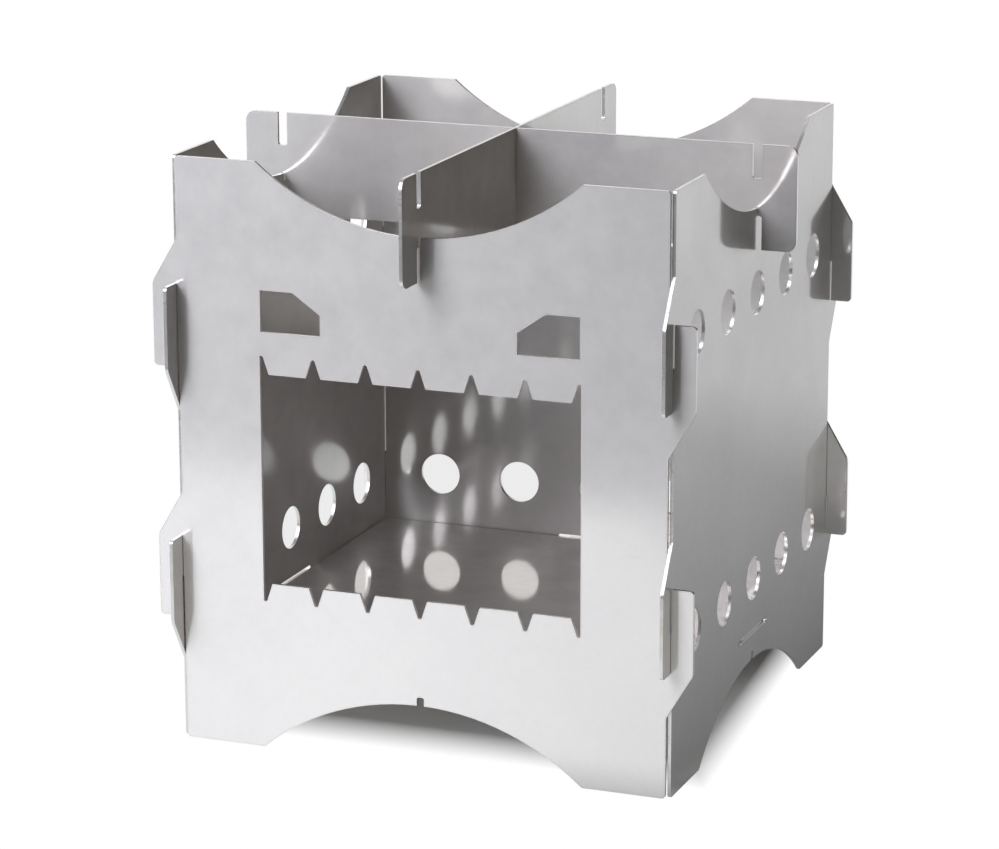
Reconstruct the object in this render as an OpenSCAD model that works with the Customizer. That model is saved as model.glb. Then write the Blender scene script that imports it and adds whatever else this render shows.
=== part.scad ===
// Take-down camp stove that burns twigs: four sheet-metal walls hooked into a square box,
// a floor plate tabbed into three of them, and two crossed bars that carry the pot.
// Millimetres. X runs right along the front wall, Y runs to the back, Z runs up.
// The origin is on the ground, under the middle of the box.

/* [Walls] */
// Thickness of every sheet
sheet_t = 1.0; // [0.8:0.1:1.5]
// Distance between the centre planes of opposite walls
wall_spacing = 150; // [130:1:190]
// Height of a wall, from the ends of its feet to the ends of its horns
wall_h = 173.6; // [165:0.2:220]
// Width of each foot and of each horn
foot_w = 25; // [16:0.5:32]
// Rise of the arch between the feet, and depth of the dip between the horns
arch_rise = 18.4; // [10:0.1:24]
// Radius at the outer corners of the feet and horns
wall_corner_r = 1.0; // [0.4:0.1:3]
// Depth of the notch in the middle of each arch and dip
notch_depth = 2.5; // [1.5:0.1:5]
// Gap between a pot bar's face and the side of the notch it stands in
notch_clearance = 0.6; // [0.2:0.05:1]
// Radius in the corners of that notch
notch_corner_r = 0.7; // [0.2:0.1:0.9]

/* [Hooks] */
// Distance between the upper and the lower hook of a wall's edge
hook_spacing = 75; // [66:0.5:85]
// How far a hook stands out past the centre plane of the wall it grips
hook_reach = 7.1; // [5:0.1:10]
// Depth of a hook's slot, which is half of the hook's straight outer edge
hook_slot_depth = 12.3; // [8:0.1:16]
// Height over which a hook tapers back to the wall's edge
hook_taper_h = 13.2; // [6:0.1:15]
// Gap between a wall and each side of the slot it sits in
hook_clearance = 0.25; // [0.1:0.05:0.5]
// Radius at a hook's tip
hook_tip_r = 1.2; // [0.4:0.1:2]
// Radius where a hook's outer edge meets its taper
hook_shoulder_r = 3.5; // [1:0.1:6]

/* [Air holes] */
// Diameter of an air hole
hole_d = 13.3; // [8:0.1:16]
// Number of air holes in a row
hole_count = 5; // [3:1:6]
// Distance from a wall's side edge to the centre of the last hole in a row
hole_margin = 19.25; // [14:0.25:26]
// Height of the lower row of air holes above the underside of the floor plate
hole_row_rise = 17.55; // [12:0.05:24]
// Distance from the ends of the horns down to the upper row of air holes
hole_row_drop = 43.55; // [36:0.05:60]

/* [Fire door] */
// Distance from the front wall's side edge to the door opening
door_margin = 25.5; // [21:0.5:34]
// Height of the door's sill above the ground
door_sill = 49.9; // [46:0.1:56]
// Number of notches in the sill, and in the lintel
door_notch_count = 7; // [3:1:8]
// Depth of a door notch
door_notch_depth = 5.4; // [3:0.1:7]
// Width of a door notch at its mouth
door_notch_w = 4.6; // [3:0.1:7]
// Width of a door notch at its rounded tip
door_notch_tip_w = 1.4; // [0.8:0.1:2.4]
// Distance from the door's side to the centre of the last notch
door_notch_inset = 0.45; // [0.2:0.05:1.5]

/* [Vents over the door] */
// Distance from the notch in the dip down to the top of the vents
vent_drop = 16.1; // [12:0.1:22]
// Distance from the tips of the lintel's notches to the foot of a vent
vent_gap = 7.0; // [5:0.1:9]
// Distance from the front wall's side edge to a vent's tall side
vent_margin = 25.9; // [21:0.1:34]
// Width of a vent along its foot
vent_w = 18.5; // [12:0.1:24]
// Width of a vent along its level top
vent_top_w = 10; // [5:0.1:11.5]
// Height of a vent's tall side
vent_h = 12.1; // [9:0.1:15]
// Height of a vent's short side
vent_side_h = 6.2; // [3:0.1:8]

/* [Floor plate] */
// Height of the underside of the floor plate above the notch in the arches
floor_rise = 5.1; // [3:0.1:9]
// Gap between the floor plate's edge and the walls' inner faces
floor_gap = 0.5; // [0.2:0.1:1.5]
// Radius at the floor plate's corners
floor_corner_r = 2; // [0.5:0.1:6]
// Width of a tab of the floor plate
tab_w = 20; // [12:0.5:30]
// Free length at each end of the slot that a tab sits in
tab_play = 4; // [2:0.1:6]
// Free height over a tab in its slot
tab_lift = 0.6; // [0.2:0.1:1.2]

/* [Pot bars] */
// How far a pot bar runs past the centre plane of the wall it sits on
bar_overhang = 12; // [8:0.5:24]
// Height of a pot bar
bar_h = 31; // [26:0.5:40]
// Radius at a pot bar's corners
bar_corner_r = 3; // [1:0.1:5]
// Depth of the slots near a pot bar's ends
bar_slot_depth = 10; // [6:0.1:12]
// Gap between a wall and each side of the bar slot it sits in
bar_slot_clearance = 1.0; // [0.4:0.1:1.5]
// Radius in the corners of a bar slot
bar_slot_corner_r = 0.7; // [0.2:0.1:1]
// Gap between the crossed bars and each side of their shared slots
cross_clearance = 0.15; // [0.05:0.05:0.4]

/* [Hidden] */
$fn = 96;
// Straight steps in a radius that is drawn with points
arc_steps = 6;
// How far a cut runs past what it cuts
overrun = 1;

// Faces of a wall, measured from the middle of the box
face_in = (wall_spacing - sheet_t) / 2;
face_out = (wall_spacing + sheet_t) / 2;
// A wall's own side edge, the far side of its hooks' slots and the hooks' outer edge
edge_x = face_in - hook_clearance;
hook_slot_x = face_out + hook_clearance;
hook_x = wall_spacing / 2 + hook_reach;
// Levels at which crossed hooks meet
hook_levels = [(wall_h - hook_spacing) / 2, (wall_h + hook_spacing) / 2];
// Half the width of the arch at the ground, and the radius that gives its rise
arch_half_w = edge_x - foot_w;
arch_r = (pow(arch_half_w, 2) + pow(arch_rise, 2)) / (2 * arch_rise);
// Width of the notch in an arch or a dip, and the level of a dip's notch, where a bar sits
notch_w = sheet_t + 2 * notch_clearance;
seat_z = wall_h - arch_rise - notch_depth;
// Underside of the floor plate
floor_z = arch_rise + notch_depth + floor_rise;
// Ends of a bar, the slots near them and the bars' underside
bar_end_x = wall_spacing / 2 + bar_overhang;
bar_slot_w = sheet_t + 2 * bar_slot_clearance;
bar_z = seat_z - bar_slot_depth;
// Air holes along a row, and the two rows' levels
hole_pitch = 2 * (edge_x - hole_margin) / (hole_count - 1);
hole_levels = [floor_z + hole_row_rise, wall_h - hole_row_drop];
// Foot of the vents, and the door opening that takes the height left under them
vent_z = seat_z - vent_drop - vent_h;
door_h = vent_z - vent_gap - door_notch_depth - door_sill;
door_half_w = edge_x - door_margin;
door_notch_pitch = 2 * (door_half_w - door_notch_inset) / (door_notch_count - 1);

function unit(v) = v / norm(v);

// What is trimmed from the corner p of an outline, whose sides run to a and b, to leave the radius r
module corner_trim(p, a, b, r) {
    u = unit(a - p);
    v = unit(b - p);
    half_angle = acos(u * v) / 2;
    bisector = unit(u + v);
    difference() {
        polygon([p - overrun * bisector, p + u * r / tan(half_angle), p + v * r / tan(half_angle)]);
        translate(p + bisector * r / sin(half_angle)) circle(r);
    }
}

// A slot with rounded corners, from its mouth at the origin to its end at y = depth
module soft_slot(w, depth, r) {
    translate([-w / 2, -overrun]) square([w, depth - r + overrun]);
    translate([r - w / 2, -overrun]) square([w - 2 * r, depth + overrun]);
    for (side = [-1, 1]) translate([side * (w / 2 - r), depth - r]) circle(r);
}

// Points along the radius r that rounds the corner p of an outline, coming from a and going to b
function rounded(p, a, b, r) =
    let (
        u = unit(a - p),
        v = unit(b - p),
        half_angle = acos(u * v) / 2,
        centre = p + unit(u + v) * r / sin(half_angle),
        first = p + u * r / tan(half_angle) - centre,
        last = p + v * r / tan(half_angle) - centre
    )
    [for (i = [0:arc_steps]) centre + r * unit(first * (arc_steps - i) + last * i)];

// A hook on a wall's right edge, pointing up, with the end of its slot at the height of the origin
module hook() {
    taper_end = [edge_x, -hook_slot_depth - hook_taper_h];
    shoulder = [hook_x, -hook_slot_depth];
    tip_out = [hook_x, hook_slot_depth];
    tip_in = [hook_slot_x, hook_slot_depth];
    polygon([
        [taper_end.x - overrun, taper_end.y],
        taper_end,
        each rounded(shoulder, taper_end, tip_out, hook_shoulder_r),
        each rounded(tip_out, shoulder, tip_in, hook_tip_r),
        tip_in,
        [hook_slot_x, 0],
        [edge_x - overrun, 0]
    ]);
}

// What is cut from a wall's lower end: the arch, the notch at its crown and the corners of the feet
module foot_cut() {
    translate([0, arch_rise - arch_r]) circle(arch_r);
    translate([0, arch_rise]) soft_slot(notch_w, notch_depth, notch_corner_r);
    for (turn = [0, 1]) mirror([turn, 0]) corner_trim([edge_x, 0], [0, 0], [edge_x, wall_h], wall_corner_r);
}

// Outline of a wall seen from outside, with its feet on y = 0. The right-hand hooks point up and
// the left-hand hooks point down, so each wall hangs on the next one all round the box.
module wall_outline() {
    difference() {
        union() {
            translate([-edge_x, 0]) square([2 * edge_x, wall_h]);
            for (level = hook_levels) translate([0, level]) {
                hook();
                rotate(180) hook();
            }
        }
        foot_cut();
        translate([0, wall_h]) mirror([0, 1]) foot_cut();
    }
}

// Slot that a tab of the floor plate sits in, with round ends
module floor_slot() {
    slot_h = sheet_t + tab_lift;
    half_w = tab_w / 2 + tab_play - slot_h / 2;
    translate([-half_w, floor_z]) square([2 * half_w, slot_h]);
    for (side = [-1, 1]) translate([side * half_w, floor_z + slot_h / 2]) circle(slot_h / 2);
}

// Air holes and floor slot, in every wall but the front one
module plain_wall_outline() {
    difference() {
        wall_outline();
        for (level = hole_levels, i = [0:hole_count - 1])
            translate([(i - (hole_count - 1) / 2) * hole_pitch, level]) circle(d = hole_d);
        floor_slot();
    }
}

// Notches along the door's sill, tips down, with the sill at y = 0
module door_notches() {
    tip_r = door_notch_tip_w / 2;
    round_y = tip_r - door_notch_depth;
    for (i = [0:door_notch_count - 1])
        translate([(i - (door_notch_count - 1) / 2) * door_notch_pitch, 0]) {
            polygon([
                [-door_notch_w / 2, 0],
                [-tip_r, round_y],
                [tip_r, round_y],
                [door_notch_w / 2, 0],
                [door_notch_w / 2, overrun],
                [-door_notch_w / 2, overrun]
            ]);
            translate([0, round_y]) circle(tip_r);
        }
}

// Door opening: its notches stop at the lines of its sides
module door_opening() {
    translate([-door_half_w, door_sill]) square([2 * door_half_w, door_h]);
    intersection() {
        union() {
            translate([0, door_sill]) door_notches();
            translate([0, door_sill + door_h]) mirror([0, 1]) door_notches();
        }
        translate([-door_half_w, 0]) square([2 * door_half_w, wall_h]);
    }
}

// Vent over the right half of the door, with its inner upper corner cut off
module vent() {
    side_x = edge_x - vent_margin;
    polygon([
        [side_x, vent_z],
        [side_x, vent_z + vent_h],
        [side_x - vent_top_w, vent_z + vent_h],
        [side_x - vent_w, vent_z + vent_side_h],
        [side_x - vent_w, vent_z]
    ]);
}

module front_wall_outline() {
    difference() {
        wall_outline();
        door_opening();
        vent();
        mirror([1, 0]) vent();
    }
}

// Stands an outline up as a sheet in the front wall's place, then turns it about the box's middle
module stand_wall(turn) {
    rotate([0, 0, turn]) translate([0, -face_in, 0]) rotate([90, 0, 0]) linear_extrude(sheet_t) children();
}

// Outline of the floor plate seen from above, with a tab at the back and at each side
module floor_outline() {
    half = face_in - floor_gap;
    difference() {
        union() {
            translate([-half, -half]) square([2 * half, 2 * half]);
            for (turn = [0, 90, 180]) rotate(turn) translate([0, -tab_w / 2]) square([face_out, tab_w]);
        }
        for (turn = [0, 90, 180, 270]) rotate(turn)
            corner_trim([half, half], [0, half], [half, 0], floor_corner_r);
    }
}

// Outline of a pot bar, with its underside on y = 0 and the crossing slot on the given side
module bar_outline(slot_on_top) {
    cross_w = sheet_t + 2 * cross_clearance;
    difference() {
        translate([-bar_end_x, 0]) square([2 * bar_end_x, bar_h]);
        for (turn = [0, 1]) translate([0, bar_h / 2]) mirror([0, turn]) translate([0, -bar_h / 2])
            for (flip = [0, 1]) mirror([flip, 0]) {
                translate([wall_spacing / 2, 0]) soft_slot(bar_slot_w, bar_slot_depth, bar_slot_corner_r);
                corner_trim([bar_end_x, 0], [0, 0], [bar_end_x, bar_h], bar_corner_r);
            }
        translate([-cross_w / 2, slot_on_top ? bar_h / 2 : -overrun]) square([cross_w, bar_h / 2 + overrun]);
    }
}

// Stands a bar up on the box, on its seats in the walls' notches
module stand_bar(turn) {
    rotate([0, 0, turn]) translate([0, sheet_t / 2, bar_z]) rotate([90, 0, 0]) linear_extrude(sheet_t) children();
}

module front_wall() {
    color([0.82, 0.82, 0.81]) stand_wall(0) front_wall_outline();
}

module right_wall() {
    color([0.62, 0.62, 0.62]) stand_wall(90) plain_wall_outline();
}

module back_wall() {
    color([0.7, 0.7, 0.7]) stand_wall(180) plain_wall_outline();
}

module left_wall() {
    color([0.66, 0.66, 0.66]) stand_wall(270) plain_wall_outline();
}

module floor_plate() {
    color([0.58, 0.58, 0.59]) translate([0, 0, floor_z]) linear_extrude(sheet_t) floor_outline();
}

// Runs from side to side
module pot_bar_lower() {
    color([0.76, 0.76, 0.75]) stand_bar(0) bar_outline(true);
}

// Runs from front to back, over the lower bar
module pot_bar_upper() {
    color([0.74, 0.74, 0.73]) stand_bar(90) bar_outline(false);
}

front_wall();
right_wall();
back_wall();
left_wall();
floor_plate();
pot_bar_lower();
pot_bar_upper();
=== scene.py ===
"""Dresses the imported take-down camp stove for a studio picture.

The stove is cut from rolled stainless sheet: four hooked walls round a floor plate, and two
crossed pot bars. Each sheet is shaped from its CAD solid: its cut edges are broken a little, a
narrow band along them carries the wear and heat tint of the cut, and the rolled faces and the cut
edges get finishes of their own.
"""

import logging
import math
from dataclasses import dataclass, field
from enum import Enum
from typing import NamedTuple

import bpy
from mathutils import Matrix, Vector


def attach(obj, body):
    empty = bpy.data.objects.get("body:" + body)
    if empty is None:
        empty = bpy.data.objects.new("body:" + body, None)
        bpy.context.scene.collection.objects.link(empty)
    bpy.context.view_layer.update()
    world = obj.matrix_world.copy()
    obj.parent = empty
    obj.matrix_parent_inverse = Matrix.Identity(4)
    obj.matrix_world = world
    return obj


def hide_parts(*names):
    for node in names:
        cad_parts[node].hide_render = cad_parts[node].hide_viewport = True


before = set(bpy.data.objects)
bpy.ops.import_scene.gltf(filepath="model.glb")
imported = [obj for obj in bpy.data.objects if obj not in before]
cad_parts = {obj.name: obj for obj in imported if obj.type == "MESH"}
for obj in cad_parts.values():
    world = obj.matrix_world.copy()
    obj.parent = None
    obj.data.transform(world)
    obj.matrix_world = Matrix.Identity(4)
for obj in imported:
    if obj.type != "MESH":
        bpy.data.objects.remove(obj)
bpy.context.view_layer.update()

LOG = logging.getLogger("camp_stove")
MM = 0.001
WHITE = (1.0, 1.0, 1.0)
EVEN = (1.0, 1.0, 1.0)
EDGE_WEAR = "edge_wear"
NOISE_LOW = 0.3
NOISE_HIGH = 0.7
NOISE_ROUGHNESS = 0.6
QUARTER_TURN = 0.25

Colour = tuple[float, float, float]
Socket = bpy.types.NodeSocket


class SheetFace(Enum):
    """The axis that a flat sheet's two faces look along."""

    X = 0
    Y = 1
    Z = 2


class Grain(Enum):
    """The axis that a sheet's rolling lines run along."""

    X = 0
    Y = 1
    Z = 2


class Ramp(NamedTuple):
    """A span of one value, and the levels that its two ends get."""

    start: float
    end: float
    at_start: float
    at_end: float


class NodeBench:
    """Adds and joins the nodes of one material or world."""

    def __init__(self, holder: bpy.types.Material | bpy.types.World) -> None:
        """Start with an empty node tree.

        Args:
            holder: The material or world that the nodes belong to.
        """
        holder.use_nodes = True
        self.tree = holder.node_tree
        self.tree.nodes.clear()

    def add(self, kind: str, inputs: dict | None = None, **settings: object) -> bpy.types.Node:
        """Add one node.

        Args:
            kind: The node's Blender type name, without its ShaderNode prefix.
            inputs: Values for its unlinked sockets, by socket name or number.
            **settings: Values for the node's own properties.

        Returns:
            The new node.
        """
        node = self.tree.nodes.new("ShaderNode" + kind)
        for key, value in settings.items():
            setattr(node, key, value)
        for key, value in (inputs or {}).items():
            node.inputs[key].default_value = value
        return node

    def join(self, source: Socket, target: Socket) -> None:
        """Link an output to an input."""
        self.tree.links.new(source, target)

    def object_place(self, scale: tuple[float, float, float], turn: float = 0.0) -> Socket:
        """Give Object coordinates, turned and scaled.

        Args:
            scale: Scale along each axis, so the pattern's size is its inverse.
            turn: Turn about each axis, in radians.

        Returns:
            The vector output.
        """
        coordinates = self.add("TexCoord")
        mapping = self.add("Mapping", {"Rotation": (turn, turn, turn), "Scale": scale})
        self.join(coordinates.outputs["Object"], mapping.inputs["Vector"])
        return mapping.outputs["Vector"]

    def noise(self, place: Socket, scale: float, detail: float) -> Socket:
        """Give a noise pattern from 0 to 1.

        Args:
            place: The coordinates that it reads.
            scale: How many features lie on one unit of them.
            detail: Octaves of finer noise.

        Returns:
            The pattern's value output.
        """
        noise = self.add(
            "TexNoise", {"Scale": scale, "Detail": detail, "Roughness": NOISE_ROUGHNESS}
        )
        self.join(place, noise.inputs["Vector"])
        return noise.outputs["Fac"]

    def even_noise(self, per_metre: float, detail: float) -> Socket:
        """Give a noise pattern that is the same size along every axis.

        Args:
            per_metre: How many features lie on one metre.
            detail: Octaves of finer noise.

        Returns:
            The pattern's value output.
        """
        return self.noise(self.object_place(EVEN), per_metre, detail)

    def span(
        self, value: Socket, start: float, end: float, at_start: float, at_end: float
    ) -> Socket:
        """Map a value's span onto another, clamped at both ends.

        Args:
            value: The value output to map.
            start: Where its span starts.
            end: Where its span ends.
            at_start: What the start becomes.
            at_end: What the end becomes.

        Returns:
            The mapped value output.
        """
        mapped = self.add(
            "MapRange",
            {"From Min": start, "From Max": end, "To Min": at_start, "To Max": at_end},
        )
        self.join(value, mapped.inputs["Value"])
        return mapped.outputs["Result"]

    def spread(self, pattern: Socket, low: float, high: float) -> Socket:
        """Map a noise pattern's usual values onto a span.

        Args:
            pattern: The pattern's value output.
            low: What its low values become.
            high: What its high values become.

        Returns:
            The mapped value output.
        """
        return self.span(pattern, NOISE_LOW, NOISE_HIGH, low, high)

    def work_out(self, operation: str, first: Socket, second: Socket) -> Socket:
        """Give the result of a Math node with two value outputs."""
        node = self.add("Math", operation=operation)
        self.join(first, node.inputs[0])
        self.join(second, node.inputs[1])
        return node.outputs["Value"]

    def total(self, first: Socket, second: Socket) -> Socket:
        """Give the sum of two value outputs."""
        return self.work_out("ADD", first, second)

    def largest(self, first: Socket, second: Socket) -> Socket:
        """Give the larger of two value outputs."""
        return self.work_out("MAXIMUM", first, second)

    def product(self, first: Socket, second: Socket) -> Socket:
        """Give the product of two value outputs."""
        return self.work_out("MULTIPLY", first, second)

    def turned(self, across: Socket, back: Socket, cross_share: float, back_share: float) -> Socket:
        """Give the place along a turned axis.

        Args:
            across: The place along X.
            back: The place along Y.
            cross_share: The turned axis's part along X.
            back_share: Its part along Y.

        Returns:
            The place along it.
        """
        parts = []
        for place, share in ((across, cross_share), (back, back_share)):
            part = self.add("Math", {1: share}, operation="MULTIPLY")
            self.join(place, part.inputs[0])
            parts.append(part.outputs["Value"])
        return self.total(*parts)

    def blend(self, share: Socket, first: Socket | Colour, second: Socket | Colour) -> Socket:
        """Blend two colours.

        Args:
            share: The value output that says how much of the second colour shows.
            first: A colour, or a colour output.
            second: A colour, or a colour output.

        Returns:
            The blended colour output.
        """
        mix = self.add("Mix", data_type="RGBA")
        self.join(share, mix.inputs["Factor"])
        for colour, socket in ((first, mix.inputs[6]), (second, mix.inputs[7])):
            if isinstance(colour, tuple):
                socket.default_value = (*colour, 1.0)
            else:
                self.join(colour, socket)
        return mix.outputs[2]

    def bump(self, height: Socket, depth: float, under: Socket | None = None) -> Socket:
        """Turn a height pattern into a normal.

        Args:
            height: The pattern, from 0 to 1.
            depth: Its real depth in metres.
            under: The normal of a bump below this one.

        Returns:
            The normal output.
        """
        bump = self.add("Bump", {"Strength": 1.0, "Distance": depth})
        self.join(height, bump.inputs["Height"])
        if under is not None:
            self.join(under, bump.inputs["Normal"])
        return bump.outputs["Normal"]

    def metal(
        self, colour: Socket, roughness: Socket, normal: Socket, stretch: float = 0.0
    ) -> Socket:
        """Give bare metal.

        Args:
            colour: The base colour output.
            roughness: The roughness output.
            normal: The normal output.
            stretch: How far reflections stretch up and down, from 0 to 1.

        Returns:
            The shader output.
        """
        shader = self.add(
            "BsdfPrincipled",
            {"Metallic": 1.0, "Anisotropic": stretch, "Anisotropic Rotation": QUARTER_TURN},
        )
        self.join(colour, shader.inputs["Base Color"])
        self.join(roughness, shader.inputs["Roughness"])
        self.join(normal, shader.inputs["Normal"])
        return shader.outputs["BSDF"]

    def layers(self, share: Socket, first: Socket, second: Socket) -> Socket:
        """Mix two shaders.

        Args:
            share: The value output that says how much of the second shows.
            first: The first shader output.
            second: The second shader output.

        Returns:
            The mixed shader output.
        """
        mix = self.add("MixShader")
        self.join(share, mix.inputs["Fac"])
        self.join(first, mix.inputs[1])
        self.join(second, mix.inputs[2])
        return mix.outputs["Shader"]

    def ray_kinds(self) -> tuple[Socket, Socket]:
        """Tell the camera's rays and the mirrored ones from those that only light.

        Returns:
            An output that is 1 on a camera ray, and one that is 1 on a ray that comes off or
            through something shiny.
        """
        path = self.add("LightPath")
        mirrored = self.total(path.outputs["Is Glossy Ray"], path.outputs["Is Transmission Ray"])
        return path.outputs["Is Camera Ray"], mirrored

    def finish(self, shader: Socket, output: str = "OutputMaterial") -> None:
        """Put a shader on the surface that the output node stands for."""
        self.join(shader, self.add(output).inputs["Surface"])


def axis_scale(along: Enum, on_axis: float, across: float) -> tuple[float, float, float]:
    """Give a scale for each axis, with one of them set apart.

    Args:
        along: The axis that is set apart.
        on_axis: The scale on that axis.
        across: The scale on the other two.

    Returns:
        The three scales.
    """
    scales = [across, across, across]
    scales[along.value] = on_axis
    return (scales[0], scales[1], scales[2])


@dataclass(frozen=True)
class RolledFace:
    """Cold-rolled stainless face: a sharp mirror layer under a wide, upright satin one.

    It carries faint rolling lines, haze, mottle and handling scratches. Scales are features per
    metre, and depths are in metres. A pair of line scales is the one along the lines and the one
    across them, and a scratch run is its turn in radians and its scale along the scratch.
    """

    name: str
    colour: Colour = (0.80, 0.772, 0.745)
    haze_colour: Colour = (0.765, 0.738, 0.713)
    heat_colour: Colour = (0.62, 0.57, 0.50)
    haze_tinted: Ramp = Ramp(0.42, 0.68, 0.0, 1.0)
    wear_tint: float = 0.45
    roughness: float = 0.08
    haze_start: float = 0.35
    haze_roughness: float = 0.05
    mottle_roughness: tuple[float, float] = (-0.012, 0.02)
    wear_roughness: float = 0.12
    scratch_roughness: float = 0.06
    satin_roughness: float = 0.5
    satin_mottle: float = 0.03
    satin_share: float = 0.50
    haze_share: float = 0.035
    cloud_share: float = 0.03
    stretch: float = 0.75
    satin_stretch: float = 0.95
    line_scales: tuple[float, float] = (60.0, 2600.0)
    line_depth: float = 0.0000002
    wave_scale: float = 11.0
    wave_depth: float = 0.000006
    haze_scale: float = 21.0
    cloud_scale: float = 95.0
    mottle_scale: float = 900.0
    scratch_runs: tuple[tuple[float, float], tuple[float, float]] = ((0.5, 60.0), (-0.35, 85.0))
    scratch_scale: float = 2400.0
    scratch_cut: Ramp = Ramp(0.76, 0.80, 0.0, 1.0)

    def make(self, grain: Grain) -> bpy.types.Material:
        """Build the material.

        Args:
            grain: The axis that the rolling lines run along.

        Returns:
            The material.
        """
        material = bpy.data.materials.new(f"{self.name}_grain_{grain.name.lower()}")
        bench = NodeBench(material)
        lines = bench.noise(bench.object_place(axis_scale(grain, *self.line_scales)), 1.0, 3.0)
        mottle = bench.even_noise(self.mottle_scale, detail=4.0)
        haze = bench.even_noise(self.haze_scale, detail=5.0)
        wave = bench.even_noise(self.wave_scale, detail=1.0)
        cloud = bench.even_noise(self.cloud_scale, detail=3.0)
        scratches = self.scratches(bench, grain)
        wear = bench.add("Attribute", attribute_name=EDGE_WEAR, attribute_type="GEOMETRY")
        wear = wear.outputs["Fac"]

        colour = bench.blend(bench.span(haze, *self.haze_tinted), self.colour, self.haze_colour)
        heated = bench.span(wear, 0.0, 1.0, 0.0, self.wear_tint)
        colour = bench.blend(heated, colour, self.heat_colour)
        hazed = self.roughness + self.haze_roughness
        roughness = bench.span(haze, self.haze_start, NOISE_HIGH, self.roughness, hazed)
        for rougher in (
            bench.spread(mottle, *self.mottle_roughness),
            bench.span(wear, 0.0, 1.0, 0.0, self.wear_roughness),
            bench.span(scratches, 0.0, 1.0, 0.0, self.scratch_roughness),
        ):
            roughness = bench.total(roughness, rougher)
        normal = bench.bump(wave, self.wave_depth, bench.bump(lines, self.line_depth))
        satin_roughness = bench.spread(
            mottle,
            self.satin_roughness - self.satin_mottle,
            self.satin_roughness + self.satin_mottle,
        )
        share = bench.total(
            bench.spread(
                haze, self.satin_share - self.haze_share, self.satin_share + self.haze_share
            ),
            bench.spread(cloud, -self.cloud_share, self.cloud_share),
        )
        mirror = bench.metal(colour, roughness, normal, self.stretch)
        satin = bench.metal(colour, satin_roughness, normal, self.satin_stretch)
        bench.finish(bench.layers(share, mirror, satin))
        return material

    def scratches(self, bench: NodeBench, grain: Grain) -> Socket:
        """Give sparse hairline handling scratches.

        Args:
            bench: The bench of the material.
            grain: The axis that they run near.

        Returns:
            A value output, 1 on a scratch.
        """
        runs = []
        for turn, along in self.scratch_runs:
            place = bench.object_place(axis_scale(grain, along, self.scratch_scale), turn)
            runs.append(bench.span(bench.noise(place, 1.0, 0.0), *self.scratch_cut))
        return bench.total(*runs)


@dataclass(frozen=True)
class CutEdge:
    """Laser-cut edge: matt, softly rippled and finely ribbed across the sheet, a little tinted."""

    name: str
    colour: Colour = (0.74, 0.73, 0.715)
    heat_colour: Colour = (0.60, 0.52, 0.43)
    heat_scale: float = 85.0
    heated: Ramp = Ramp(0.5, 0.75, 0.0, 0.8)
    roughness: float = 0.3
    rib_roughness: tuple[float, float] = (-0.03, 0.05)
    rib_scales: tuple[float, float] = (150.0, 3200.0)
    rib_depth: float = 0.000003
    ripple_scale: float = 420.0
    ripple_depth: float = 0.00008

    def make(self, across: SheetFace) -> bpy.types.Material:
        """Build the material.

        Args:
            across: The axis through the sheet's thickness, which the ribs run along.

        Returns:
            The material.
        """
        material = bpy.data.materials.new(f"{self.name}_across_{across.name.lower()}")
        bench = NodeBench(material)
        ribs = bench.noise(bench.object_place(axis_scale(across, *self.rib_scales)), 1.0, 2.0)
        ripple = bench.even_noise(self.ripple_scale, detail=1.0)
        heat = bench.even_noise(self.heat_scale, detail=3.0)
        colour = bench.blend(bench.span(heat, *self.heated), self.colour, self.heat_colour)
        smoother, rougher = self.rib_roughness
        roughness = bench.spread(ribs, self.roughness + smoother, self.roughness + rougher)
        normal = bench.bump(ripple, self.ripple_depth, bench.bump(ribs, self.rib_depth))
        bench.finish(bench.metal(colour, roughness, normal))
        return material


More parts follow.
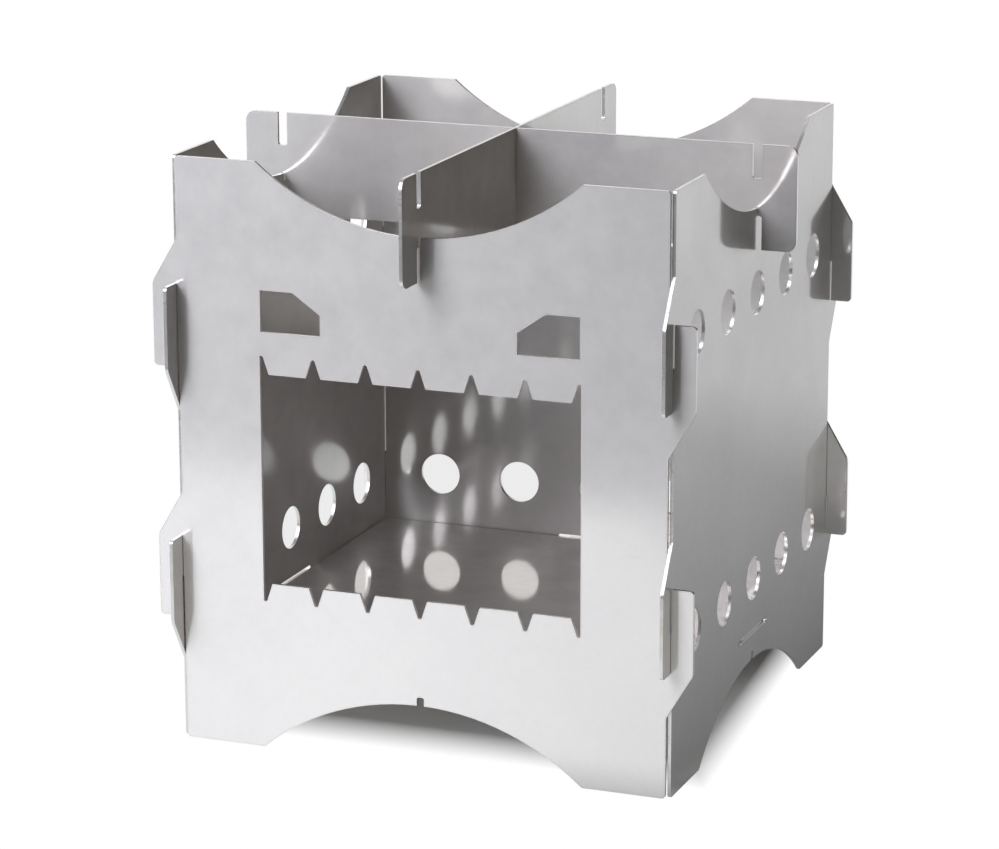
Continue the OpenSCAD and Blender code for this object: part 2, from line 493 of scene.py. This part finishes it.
@dataclass
class CutSheet:
    """One flat sheet, shaped from its CAD solid. Angles are in degrees."""

    node: str
    body: str
    slot: str
    face: SheetFace
    grain: Grain
    edge_break: float = 0.012 * MM
    break_segments: int = 2
    sharp_angle: float = 60.0
    smooth_angle: float = 20.0
    wear_band: float = 0.55 * MM
    flat_share: float = 0.99
    join_gap: float = 0.001 * MM
    join_angle: float = 0.4

    def build(self) -> bpy.types.Object:
        """Shape the sheet from a copy of its CAD solid.

        Returns:
            The piece, which rides on its body while its CAD solid is hidden.
        """
        piece = bpy.data.objects.new(f"{self.node}_sheet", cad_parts[self.node].data.copy())
        bpy.context.scene.collection.objects.link(piece)
        bpy.ops.object.select_all(action="DESELECT")
        piece.select_set(True)
        bpy.context.view_layer.objects.active = piece
        self.clean(piece)
        self.mark_wear(piece)
        self.break_edges(piece)
        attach(piece, self.body)
        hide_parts(self.node)
        LOG.info("%s: %d faces", piece.name, len(piece.data.polygons))
        return piece

    def clean(self, piece: bpy.types.Object) -> None:
        """Join the solid's loose triangles into whole faces."""
        bpy.ops.object.mode_set(mode="EDIT")
        bpy.ops.mesh.select_all(action="SELECT")
        bpy.ops.mesh.remove_doubles(threshold=self.join_gap)
        bpy.ops.mesh.dissolve_limited(angle_limit=math.radians(self.join_angle))
        bpy.ops.object.mode_set(mode="OBJECT")
        for attribute in ("custom_normal", "UVMap"):
            if attribute in piece.data.attributes:
                piece.data.attributes.remove(piece.data.attributes[attribute])

    def is_flat(self, polygon: bpy.types.MeshPolygon) -> bool:
        """Say whether a face is part of the sheet's two rolled faces."""
        return abs(polygon.normal[self.face.value]) > self.flat_share

    def mark_wear(self, piece: bpy.types.Object) -> None:
        """Run a narrow band along the cut edges, and mark it for the wear there.

        Args:
            piece: The sheet.
        """
        mesh = piece.data
        bpy.ops.object.mode_set(mode="EDIT")
        bpy.ops.mesh.select_mode(type="FACE")
        bpy.ops.mesh.select_all(action="DESELECT")
        bpy.ops.object.mode_set(mode="OBJECT")
        for polygon in mesh.polygons:
            polygon.select = self.is_flat(polygon)
        bpy.ops.object.mode_set(mode="EDIT")
        bpy.ops.mesh.inset(thickness=self.wear_band, use_even_offset=True, use_boundary=True)
        bpy.ops.object.mode_set(mode="OBJECT")
        wear = mesh.attributes.new(EDGE_WEAR, "FLOAT", "POINT")
        on_edge = {i for p in mesh.polygons if not self.is_flat(p) for i in p.vertices}
        wear.data.foreach_set("value", [float(i in on_edge) for i in range(len(mesh.vertices))])

    def break_edges(self, piece: bpy.types.Object) -> None:
        """Break the sheet's sharp edges a little, and shade its curves smooth.

        The broken edge keeps its own flat shading, so that the faces beside it stay flat too.

        Args:
            piece: The sheet.
        """
        bevel = piece.modifiers.new("edge_break", "BEVEL")
        bevel.width = self.edge_break
        bevel.segments = self.break_segments
        bevel.limit_method = "ANGLE"
        bevel.angle_limit = math.radians(self.sharp_angle)
        bpy.ops.object.modifier_apply(modifier=bevel.name)
        bpy.ops.object.shade_smooth_by_angle(angle=math.radians(self.smooth_angle))

    def dress(
        self, piece: bpy.types.Object, rolled: bpy.types.Material, cut: bpy.types.Material
    ) -> None:
        """Give the rolled faces and the cut edges their finishes.

        Args:
            piece: The sheet.
            rolled: The finish of its rolled faces.
            cut: The finish of its cut edges.
        """
        piece.data.materials.clear()
        piece.data.materials.append(rolled)
        piece.data.materials.append(cut)
        for polygon in piece.data.polygons:
            polygon.material_index = 0 if self.is_flat(polygon) else 1


@dataclass
class StoveBox:
    """The four hooked walls and the floor plate, which are one body."""

    body: str = "stove_box"
    wall_finish: RolledFace = RolledFace("wall_rolled_steel")
    floor_finish: RolledFace = RolledFace(
        "floor_rolled_steel", roughness=0.045, satin_share=0.40, stretch=0.0, satin_stretch=0.0
    )
    edge_finish: CutEdge = CutEdge("wall_cut_edge")

    def sheets(self) -> list[tuple[CutSheet, RolledFace]]:
        """List the box's sheets, each with the finish of its faces."""
        walls = [
            CutSheet("front_wall", self.body, "steel_walls", SheetFace.Y, Grain.X),
            CutSheet("right_wall", self.body, "steel_walls", SheetFace.X, Grain.Y),
            CutSheet("back_wall", self.body, "steel_walls", SheetFace.Y, Grain.X),
            CutSheet("left_wall", self.body, "steel_walls", SheetFace.X, Grain.Y),
        ]
        floor = CutSheet("floor_plate", self.body, "steel_floor", SheetFace.Z, Grain.X)
        return [(wall, self.wall_finish) for wall in walls] + [(floor, self.floor_finish)]

    def build(self) -> None:
        """Build and dress every sheet of the box."""
        for sheet, finish in self.sheets():
            piece = sheet.build()
            sheet.dress(piece, finish.make(sheet.grain), self.edge_finish.make(sheet.face))


@dataclass
class PotBars:
    """The two crossed bars that carry the pot, each a body of its own."""

    finish: RolledFace = RolledFace("bar_rolled_steel", roughness=0.07, satin_share=0.44)
    edge_finish: CutEdge = CutEdge("bar_cut_edge")

    def build(self) -> None:
        """Build and dress both bars."""
        bars = (
            CutSheet("pot_bar_lower", "lower_bar", "steel_bars", SheetFace.Y, Grain.X),
            CutSheet("pot_bar_upper", "upper_bar", "steel_bars", SheetFace.X, Grain.Y),
        )
        for bar in bars:
            piece = bar.build()
            bar.dress(piece, self.finish.make(bar.grain), self.edge_finish.make(bar.face))


@dataclass(frozen=True)
class SoftBox:
    """A studio lamp with a soft front, which hangs round the stove and faces it.

    Angles are in degrees, its width, height and reach in metres, and its power in watts.
    """

    name: str
    azimuth: float
    elevation: float
    width: float
    height: float
    power: float
    reach: float = 1.1
    aim_height: float = 0.05

    def light(self, colour: Colour) -> None:
        """Hang the lamp, with its azimuth counted from the front towards the right, and aim it.

        Args:
            colour: The colour of its light.
        """
        turn, tilt = math.radians(self.azimuth), math.radians(self.elevation)
        level = math.cos(tilt)
        out = Vector((math.sin(turn) * level, -math.cos(turn) * level, math.sin(tilt)))
        lamp = bpy.data.lights.new(self.name, "AREA")
        lamp.shape = "RECTANGLE"
        lamp.size = self.width
        lamp.size_y = self.height
        lamp.energy = self.power
        lamp.color = colour
        holder = bpy.data.objects.new(self.name, lamp)
        holder.location = out * self.reach + Vector((0.0, 0.0, self.aim_height))
        holder.rotation_euler = (-out).to_track_quat("-Z", "Y").to_euler()
        bpy.context.scene.collection.objects.link(holder)


@dataclass
class StudioFloor:
    """The pale floor: white to the camera and in the metal, but for the shade of the stove.

    Its places are in metres, across towards the right and back away from the front wall. What
    metal mirrors of it is a painted level: a painted pool of light in front and at the left,
    painted shadow of the stove at its right and behind it, and dimmer far in front.
    """

    width: float = 12.0
    colour: float = 0.76
    shade_sides: tuple[float, float, float, float] = (-0.079, 0.0765, -0.064, 0.079)
    shade_edges: tuple[float, float, float, float] = (0.015, 0.0095, 0.022, 0.015)
    shade_slant: Ramp = Ramp(-0.1, 0.1, -0.009, 0.009)
    mirrored_colour: Colour = (0.94, 0.972, 1.0)
    # Ramps of the painted level that metal mirrors: painted light in front and at the left, painted
    # shadow at the right of the stove and behind it, and a dimmer level far in front.
    mirrored_in_front: Ramp = Ramp(-0.10, -0.05, 1.0, 0.0)
    mirrored_front_right: Ramp = Ramp(0.075, 0.2, 1.0, 0.9)
    mirrored_right: Ramp = Ramp(0.06, 0.34, 0.2, 1.0)
    mirrored_behind: Ramp = Ramp(0.10, 0.40, 0.0, 0.85)
    mirrored_left: Ramp = Ramp(0.0, 0.078, 1.0, 0.0)
    mirrored_far_front: Ramp = Ramp(-0.40, -0.33, 0.0, 1.0)
    mirrored_room: Ramp = Ramp(-0.05, 0.12, 0.24, 0.05)
    # Where the painted shadow behind the stove lies, and how deep it is.
    painted_shadow_turn: tuple[float, float] = (0.93, 0.37)
    painted_shadow_left: Ramp = Ramp(-0.096, -0.08, 0.0, 1.0)
    painted_shadow_right: Ramp = Ramp(0.02, 0.095, 1.0, 0.0)
    painted_shadow_near: Ramp = Ramp(0.05, 0.12, 0.0, 1.0)
    painted_shadow_far: Ramp = Ramp(0.33, 0.5, 1.0, 0.0)
    painted_shadow_level: float = 0.84

    def lay(self) -> None:
        """Lay the floor and give it its material."""
        bpy.ops.object.select_all(action="DESELECT")
        bpy.ops.mesh.primitive_plane_add(size=self.width)
        floor = bpy.context.active_object
        floor.name = "studio_floor"
        material = bpy.data.materials.new("studio_floor")
        bench = NodeBench(material)
        coordinates = bench.add("TexCoord")
        split = bench.add("SeparateXYZ")
        bench.join(coordinates.outputs["Object"], split.inputs["Vector"])
        across, back = split.outputs["X"], split.outputs["Y"]
        camera_ray, mirrored = bench.ray_kinds()
        strength = bench.total(
            bench.product(camera_ray, self.camera_level(bench, across, back)),
            bench.product(mirrored, self.mirrored_level(bench, across, back)),
        )
        paper = bench.add("BsdfDiffuse", {"Color": (self.colour,) * 3 + (1.0,)})
        white = bench.add("Emission")
        bench.join(strength, white.inputs["Strength"])
        bench.join(bench.blend(mirrored, WHITE, self.mirrored_colour), white.inputs["Color"])
        seen = bench.total(camera_ray, mirrored)
        whitened = bench.product(self.outside_shade(bench, across, back), seen)
        bench.finish(bench.layers(whitened, paper.outputs["BSDF"], white.outputs["Emission"]))
        floor.data.materials.append(material)

    def outside_shade(self, bench: NodeBench, across: Socket, back: Socket) -> Socket:
        """Give 0 under the stove, where the paper shows its own shade, and 1 well outside.

        Args:
            bench: The bench of the material.
            across: The place along X.
            back: The place along Y.

        Returns:
            The value output.
        """
        slant = bench.total(across, bench.span(back, *self.shade_slant))
        outside = None
        places = (across, slant, back, back)
        for place, side, edge in zip(places, self.shade_sides, self.shade_edges):
            if side < 0.0:
                beyond = bench.span(place, side, side + edge, 1.0, 0.0)
            else:
                beyond = bench.span(place, side - edge, side, 0.0, 1.0)
            outside = beyond if outside is None else bench.largest(outside, beyond)
        return outside

    def mirrored_level(self, bench: NodeBench, across: Socket, back: Socket) -> Socket:
        """Give the painted level that metal mirrors of each place: painted light in front and at
        the left, painted shadow at the right and behind the stove, and dimmer far in front.

        Args:
            bench: The bench of the material.
            across: The place along X.
            back: The place along Y.

        Returns:
            The value output.
        """
        # Painted light and shade in the reflections: a pool of light in front, painted shadow of
        # the stove at its right and behind it, and dimmer far in front.
        lit = bench.product(
            bench.span(back, *self.mirrored_in_front),
            bench.span(across, *self.mirrored_front_right),
        )
        for part in (
            bench.span(across, *self.mirrored_right),
            bench.span(back, *self.mirrored_behind),
            bench.span(across, *self.mirrored_left),
        ):
            lit = bench.largest(lit, part)
        lit = bench.product(lit, bench.span(back, *self.mirrored_far_front))
        return bench.largest(lit, bench.span(across, *self.mirrored_room))

    def camera_level(self, bench: NodeBench, across: Socket, back: Socket) -> Socket:
        """Give the level that the camera sees: white, but for a faint painted shadow behind the
        stove.

        Args:
            bench: The bench of the material.
            across: The place along X.
            back: The place along Y.

        Returns:
            The value output.
        """
        # Painted shadow: a soft patch behind the stove, turned to the camera's side, which the
        # camera sees dimmer than white.
        cross_share, back_share = self.painted_shadow_turn
        sideways = bench.turned(across, back, cross_share, back_share)
        away = bench.turned(across, back, -back_share, cross_share)
        painted_shadow = bench.product(
            bench.span(sideways, *self.painted_shadow_left), bench.span(sideways, *self.painted_shadow_right)
        )
        for ramp in (self.painted_shadow_near, self.painted_shadow_far):
            painted_shadow = bench.product(painted_shadow, bench.span(away, *ramp))
        return bench.span(painted_shadow, 0.0, 1.0, 1.0, self.painted_shadow_level)


@dataclass
class Studio:
    """The floor, the lamps, the white background and the camera.

    The camera's turns are in radians and its focal length is in pixels of the picture's width.
    """

    camera_place: tuple[float, float, float] = (0.396777, -1.023058, 0.369521)
    azimuth: float = math.radians(21.445)
    elevation: float = math.radians(14.613)
    roll: float = math.radians(-0.130)
    focal_length: float = 3776.795
    picture_width: float = 999.0
    sensor: float = 36.0
    floor: StudioFloor = field(default_factory=StudioFloor)
    world_diffuse: float = 0.75
    backdrop_aim: tuple[float, float] = (-0.77, 0.64)
    backdrop_turn: Ramp = Ramp(0.42, 0.78, 0.0, 1.0)
    backdrop_rise: Ramp = Ramp(0.3, 0.9, 0.0, 0.1)
    lamp_colour: Colour = (0.94, 0.955, 1.055)
    lamps: tuple[SoftBox, ...] = (
        SoftBox("key_softbox", 331.0, 30.0, 0.7, 0.4, 3.1),
        SoftBox("low_softbox", 332.0, 15.0, 0.35, 0.4, 1.1),
        SoftBox("left_softbox", 316.0, 45.0, 0.45, 0.4, 1.8),
        SoftBox("high_softbox", 344.0, 62.0, 0.4, 0.4, 2.4),
        SoftBox("top_softbox", 0.0, 80.0, 0.4, 0.4, 1.7),
    )

    def build(self) -> None:
        """Set up the whole studio."""
        self.place_camera()
        self.floor.lay()
        self.light_world()
        for lamp in self.lamps:
            lamp.light(self.lamp_colour)
        bpy.context.scene.view_settings.view_transform = "Standard"

    def place_camera(self) -> None:
        """Set the camera where the photograph was taken from."""
        level = math.cos(self.elevation)
        back = Vector(
            (
                math.sin(self.azimuth) * level,
                -math.cos(self.azimuth) * level,
                math.sin(self.elevation),
            )
        )
        right = Vector((0.0, 0.0, 1.0)).cross(back).normalized()
        up = back.cross(right)
        turned_right = math.cos(self.roll) * right + math.sin(self.roll) * up
        turned_up = back.cross(turned_right)
        lens = bpy.data.cameras.new("studio_camera")
        lens.sensor_fit = "HORIZONTAL"
        lens.sensor_width = self.sensor
        lens.lens = self.sensor * self.focal_length / self.picture_width
        camera = bpy.data.objects.new("studio_camera", lens)
        turn = Matrix((turned_right, turned_up, back)).transposed().to_4x4()
        camera.matrix_world = Matrix.Translation(self.camera_place) @ turn
        bpy.context.scene.collection.objects.link(camera)
        bpy.context.scene.camera = camera

    def light_world(self) -> None:
        """Set a dim surround that the camera sees as white, and metal as light at the back."""
        world = bpy.data.worlds.new("studio_world")
        bench = NodeBench(world)
        camera_ray, mirrored = bench.ray_kinds()
        direction = bench.add("TexCoord").outputs["Generated"]
        aim = (*self.backdrop_aim, 0.0)
        towards = bench.add("VectorMath", {1: aim}, operation="DOT_PRODUCT")
        bench.join(direction, towards.inputs[0])
        height = bench.add("SeparateXYZ")
        bench.join(direction, height.inputs["Vector"])
        backdrop = bench.total(
            bench.span(towards.outputs["Value"], *self.backdrop_turn),
            bench.span(height.outputs["Z"], *self.backdrop_rise),
        )
        dim = bench.add("Background", {"Color": (*WHITE, 1.0), "Strength": self.world_diffuse})
        white = bench.add("Background", {"Color": (*WHITE, 1.0)})
        strength = bench.total(camera_ray, bench.product(mirrored, backdrop))
        bench.join(strength, white.inputs["Strength"])
        seen = bench.total(camera_ray, mirrored)
        shader = bench.layers(seen, dim.outputs["Background"], white.outputs["Background"])
        bench.finish(shader, "OutputWorld")
        bpy.context.scene.world = world


def main() -> None:
    """Build the studio, the box and the bars."""
    logging.basicConfig(level=logging.INFO, format="%(name)s: %(message)s")
    Studio().build()
    StoveBox().build()
    PotBars().build()


if __name__ == "__main__":
    main()
